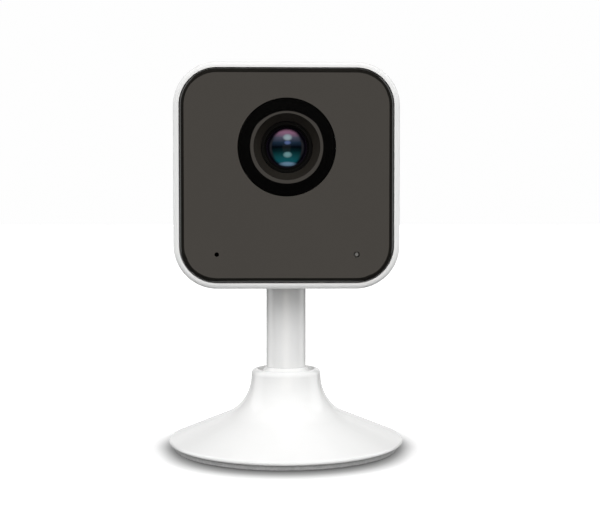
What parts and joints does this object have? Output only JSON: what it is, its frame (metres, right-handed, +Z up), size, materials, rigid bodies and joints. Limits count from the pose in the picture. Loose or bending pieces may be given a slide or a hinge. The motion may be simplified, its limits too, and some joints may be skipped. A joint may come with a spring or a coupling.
{
  "type": "security camera",
  "caption": "Indoor security camera: rounded square head with a black glossy face and a raised lens, tilting on a short ball-jointed stem over a flared round magnetic base.",
  "frame": {"origin": "centre of the base's underside, on the surface the camera stands on", "axes": "+Z up along the upright stem, the lens looks along -Y, +X is to the right of someone who faces the lens"},
  "size_m": [0.064, 0.064, 0.1029],
  "materials": {
    "white_plastic": "glossy injection-moulded white, very slightly warm",
    "black_acrylic": "polished black front panel that lets infrared through, mirror gloss",
    "hood_black": "polished black lens surround",
    "lens_black": "satin black anodised look",
    "lens_glass": "clear glass with a violet to green anti-reflection coating",
    "filter_glass": "thin coated filter glass",
    "clear_plastic": "clear light guide",
    "rubber_foot": "fine matt silicone rubber, dark grey",
    "acetal": "smooth white acetal",
    "steel": "zinc-plated or stainless steel",
    "nickel": "nickel plate",
    "circuit_board": "green solder mask",
    "chip_black": "moulded black epoxy",
    "sensor_glass": "image sensor under its cover glass",
    "aluminium": "extruded aluminium",
    "silicone_pad": "soft grey-blue thermal silicone",
    "connector_ivory": "nylon connector body",
    "switch_body": "black nylon with a steel cover",
    "soft_black": "soft black foam or silicone",
    "cone_paper": "pressed fibre diaphragm",
    "speaker_frame": "black glass-filled nylon",
    "antenna_film": "amber polyimide film with copper",
    "ribbon_film": "white laminated flat cable",
    "copper": "lacquered copper winding",
    "ferrite": "bonded magnet",
    "led_yellow": "diode package with phosphor window",
    "infrared_diode": "dark lensed diode package"
  },
  "bodies": {
    "base": {"base_shell": "white_plastic", "foot_pad": "rubber_foot", "bottom_plate": "speaker_frame", "base_screws": "steel", "base_weight": "steel", "base_magnet": "nickel", "seat_retainer": "acetal", "thrust_spring": "steel"},
    "seat": {"upper_seat": "acetal", "lower_seat": "acetal"},
    "ball": {"stem_ball": "white_plastic"},
    "stem": {"stem": "white_plastic", "stem_screw": "steel"},
    "head": {"antenna_lead": "soft_black", "board_connectors": "connector_ivory", "board_screws": "steel", "case_screws": "steel", "filter_coil": "copper", "front_board": "circuit_board", "front_housing": "white_plastic", "front_lens": "lens_glass", "front_panel": "black_acrylic", "heat_sink": "aluminium", "image_sensor": "sensor_glass", "infrared_leds": "infrared_diode", "io_board": "circuit_board", "lens_barrel": "lens_black", "lens_holder": "speaker_frame", "lens_hood": "hood_black", "lens_retaining_ring": "lens_black", "lens_spacer": "lens_black", "light_pipe": "clear_plastic", "light_sensor": "chip_black", "main_board": "circuit_board", "microphone": "nickel", "microphone_boot": "soft_black", "middle_lens": "lens_glass", "panel_tape": "soft_black", "power_socket": "nickel", "processor": "chip_black", "rear_cover": "white_plastic", "rear_lens": "lens_glass", "reset_switch": "switch_body", "ribbon_cable": "ribbon_film", "speaker_basket": "speaker_frame", "speaker_cone": "cone_paper", "speaker_gasket": "soft_black", "speaker_magnet": "nickel", "status_led": "led_yellow", "thermal_pad": "silicone_pad", "tilt_nut": "steel", "tilt_screw": "steel", "tilt_spring_washer": "steel", "tilt_washers": "acetal", "wifi_antenna": "antenna_film"},
    "reset_key": {"reset_button": "white_plastic", "switch_plunger": "switch_body"},
    "filter": {"filter_blade": "lens_black", "filter_glasses": "filter_glass", "filter_rotor": "ferrite"}
  },
  "joints": [
    {"name": "seat_pan", "type": "hinge", "parent": "base", "child": "seat", "pos_m": [0, 0, 0.0168], "axis": [0, 0, 1], "continuous": true},
    {"name": "ball_lean", "type": "hinge", "parent": "seat", "child": "ball", "pos_m": [0, 0, 0.0168], "axis": [1, 0, 0], "range_deg": [-20, 20]},
    {"name": "stem_turn", "type": "hinge", "parent": "ball", "child": "stem", "pos_m": [0, 0, 0.0216], "axis": [0, 0, 1], "continuous": true},
    {"name": "head_tilt", "type": "hinge", "parent": "stem", "child": "head", "pos_m": [0, 0, 0.0509], "axis": [1, 0, 0], "range_deg": [-90, 12]},
    {"name": "reset_press", "type": "slide", "parent": "head", "child": "reset_key", "axis": [0, -1, 0], "range_m": [0, 0.0005], "stiffness_N_per_m": 800, "springref_m": -0.0003},
    {"name": "filter_swing", "type": "hinge", "parent": "head", "child": "filter", "pos_m": [0, 0, 0.0899], "axis": [0, 1, 0], "range_deg": [0, 42]}
  ]
}
